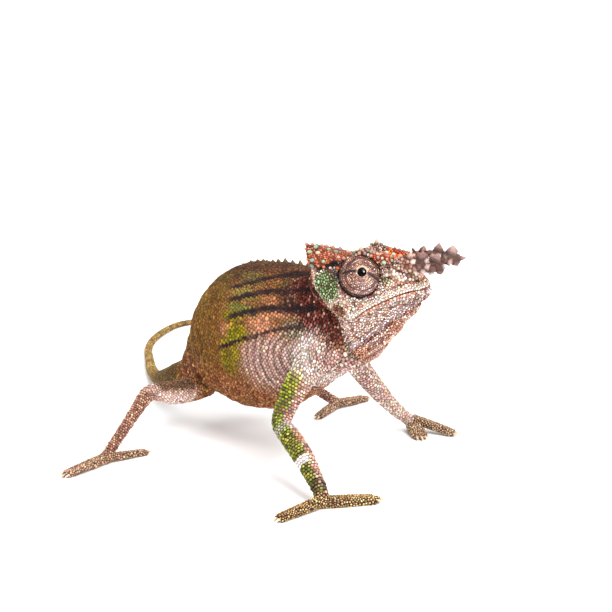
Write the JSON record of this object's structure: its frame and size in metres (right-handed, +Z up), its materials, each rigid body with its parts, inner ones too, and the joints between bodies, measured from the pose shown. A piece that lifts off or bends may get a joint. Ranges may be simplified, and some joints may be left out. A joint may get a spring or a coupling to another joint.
{
  "type": "boehmes chameleon",
  "caption": "Small horned chameleon standing with spread legs, head turned a little and tail curled on the floor, as a still life-size model.",
  "frame": {"origin": "middle of the model's box on the floor", "axes": "+X forward along the trunk, +Y to the animal's left, +Z up; the floor is Z = 0"},
  "size_m": [0.1184, 0.0948, 0.0447],
  "materials": {
    "skin": "matte scaly skin",
    "eyelid_skin": "matte finely scaled skin",
    "eye": "wet gloss",
    "horn_scales": "satin horny scales"
  },
  "bodies": {
    "root": {"head": "skin", "lower_jaw": "skin", "eye_turret_left": "eyelid_skin", "eye_turret_right": "eyelid_skin", "eye_left": "eye", "eye_right": "eye", "horn_left": "horn_scales", "horn_right": "horn_scales", "neck": "skin", "torso": "skin", "tail_base": "skin", "tail_middle": "skin", "tail_bend": "skin", "tail_hook": "skin", "tail_tip": "skin", "upper_arm_front_left": "skin", "forearm_front_left": "skin", "hand_front_left": "skin", "upper_arm_front_right": "skin", "forearm_front_right": "skin", "hand_front_right": "skin", "thigh_hind_left": "skin", "shin_hind_left": "skin", "foot_hind_left": "skin", "thigh_hind_right": "skin", "shin_hind_right": "skin", "foot_hind_right": "skin"}
  },
  "joints": []
}
